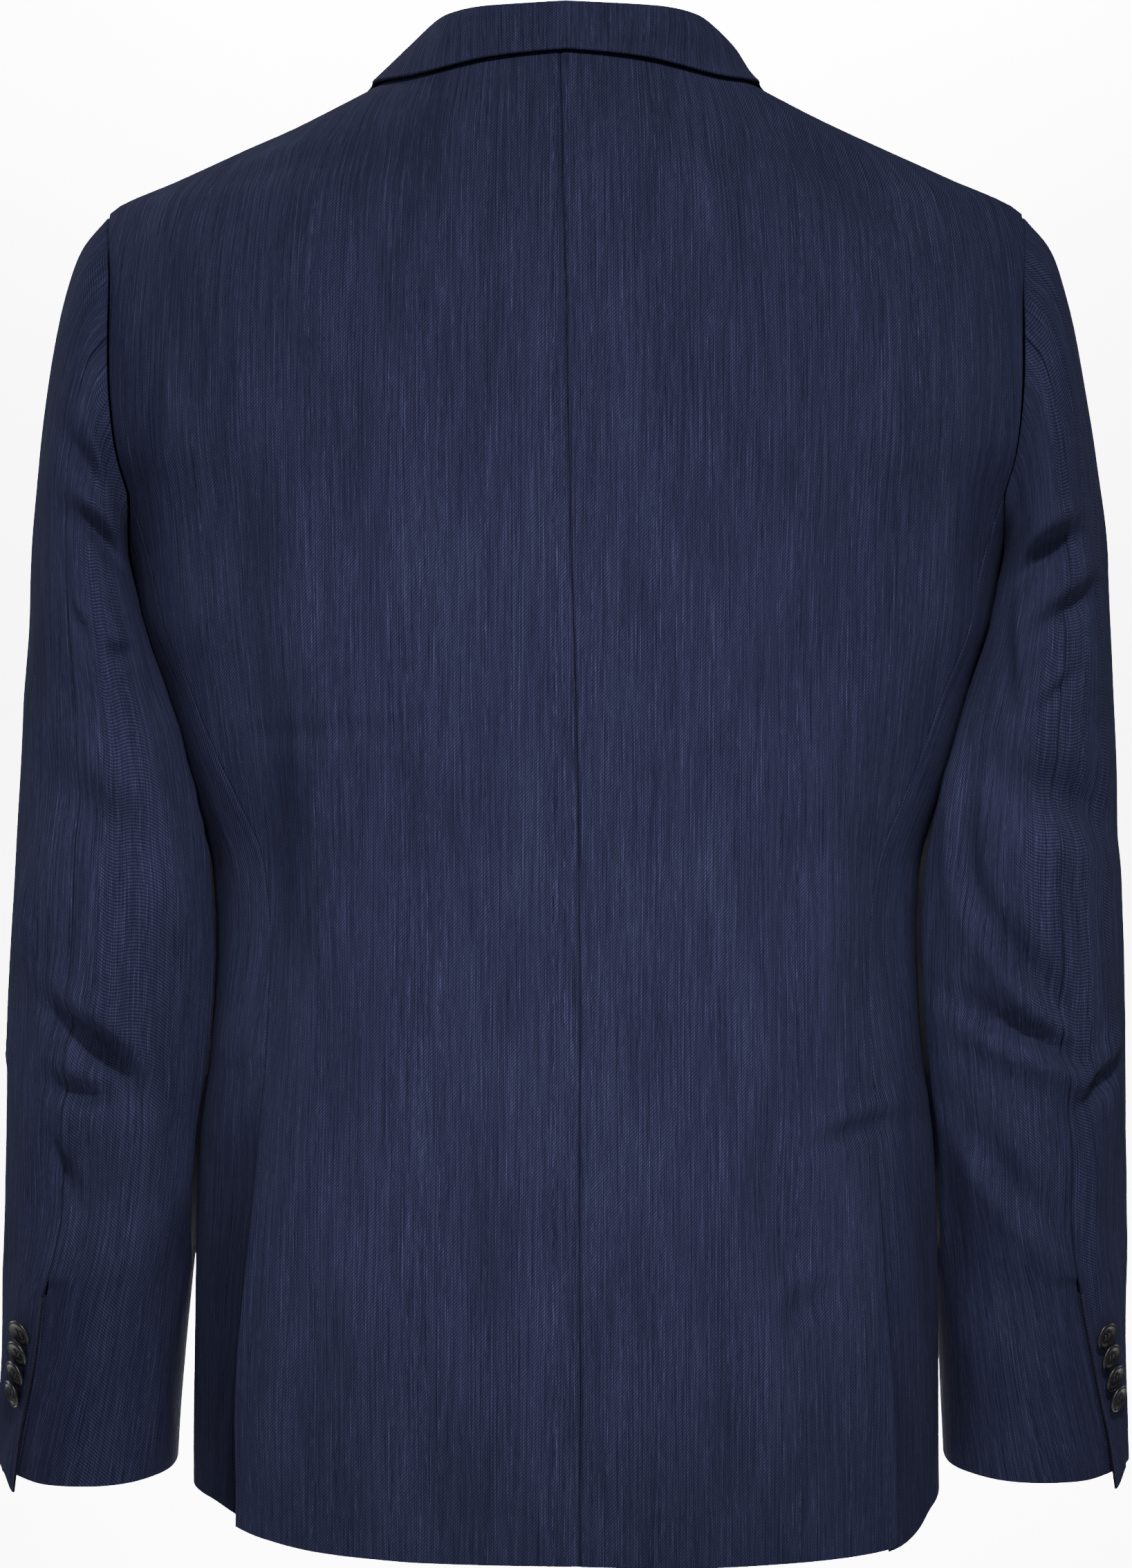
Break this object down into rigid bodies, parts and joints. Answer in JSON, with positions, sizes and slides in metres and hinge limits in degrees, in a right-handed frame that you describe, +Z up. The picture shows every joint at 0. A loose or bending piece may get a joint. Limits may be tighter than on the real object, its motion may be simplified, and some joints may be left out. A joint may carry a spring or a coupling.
{
  "type": "suit jacket",
  "caption": "Single-breasted suit jacket in navy twill with notch lapels, side vents and kissing cuff buttons, in the hollow form it has when worn.",
  "frame": {"origin": "between the wearer's shoulders, level with the base of the neck, where the wearer holds the jacket up", "axes": "+Z up, +Y towards the wearer's back, +X towards the wearer's left"},
  "size_m": [0.5865, 0.2554, 0.7695],
  "materials": {
    "cloth": "matte wool twill with a lengthwise melange",
    "buttons": "satin horn look"
  },
  "bodies": {
    "root": {"back_left": "cloth", "side_left": "cloth", "front_left": "cloth", "lapel_left": "cloth", "top_sleeve_left": "cloth", "under_sleeve_left": "cloth", "pocket_flap_left": "cloth", "cuff_button_left_1": "buttons", "cuff_button_left_2": "buttons", "cuff_button_left_3": "buttons", "cuff_button_left_4": "buttons", "back_right": "cloth", "side_right": "cloth", "front_right": "cloth", "lapel_right": "cloth", "top_sleeve_right": "cloth", "under_sleeve_right": "cloth", "pocket_flap_right": "cloth", "cuff_button_right_1": "buttons", "cuff_button_right_2": "buttons", "cuff_button_right_3": "buttons", "cuff_button_right_4": "buttons", "collar": "cloth", "breast_welt": "cloth", "front_button_top": "buttons", "front_button_low": "buttons"}
  },
  "joints": []
}
